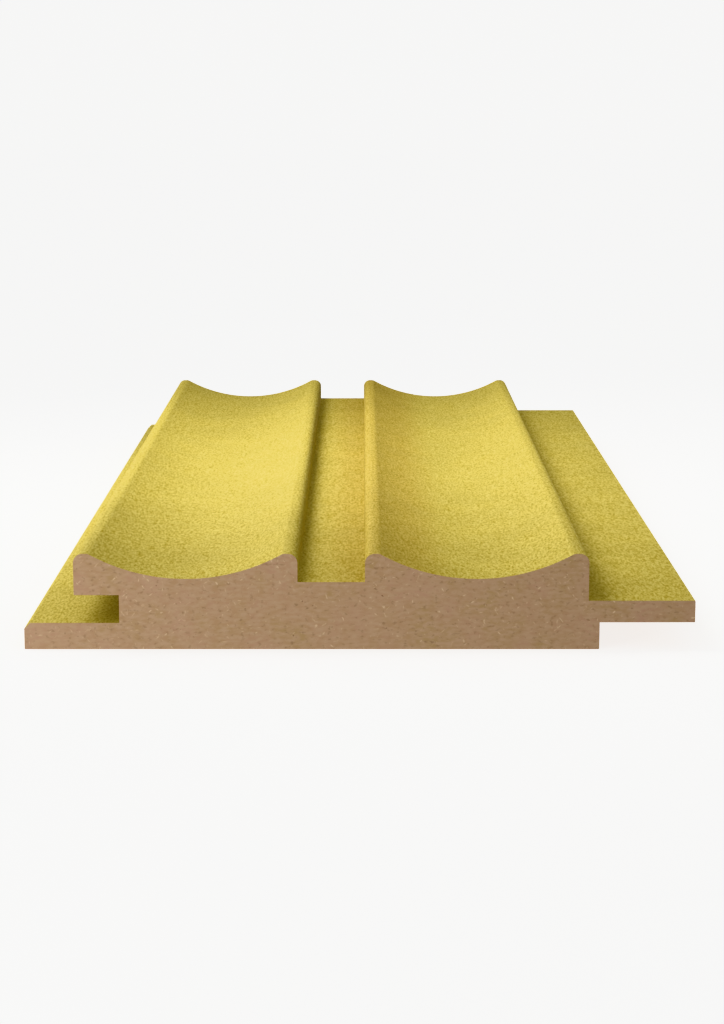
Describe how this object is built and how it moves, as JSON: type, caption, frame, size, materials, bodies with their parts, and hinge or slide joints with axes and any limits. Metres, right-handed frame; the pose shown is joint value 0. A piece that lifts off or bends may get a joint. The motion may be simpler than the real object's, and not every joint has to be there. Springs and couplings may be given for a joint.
{
  "type": "mdf wall panel",
  "caption": "Short length of MDF wall panel with hollowed slats and a flat strip on its face, and a tongue and a lipped groove along its long edges that lock panels side by side.",
  "frame": {"origin": "middle of the panel's bounding box on the plane of its back, which lies on the floor", "axes": "+X across the panel from the lipped groove to the tongue, +Y along its length, +Z from the back to the fluted face"},
  "size_m": [0.1238, 0.25, 0.018],
  "materials": {
    "coated_mdf": "satin"
  },
  "bodies": {
    "root": {"wall_panel": "coated_mdf"}
  },
  "joints": []
}
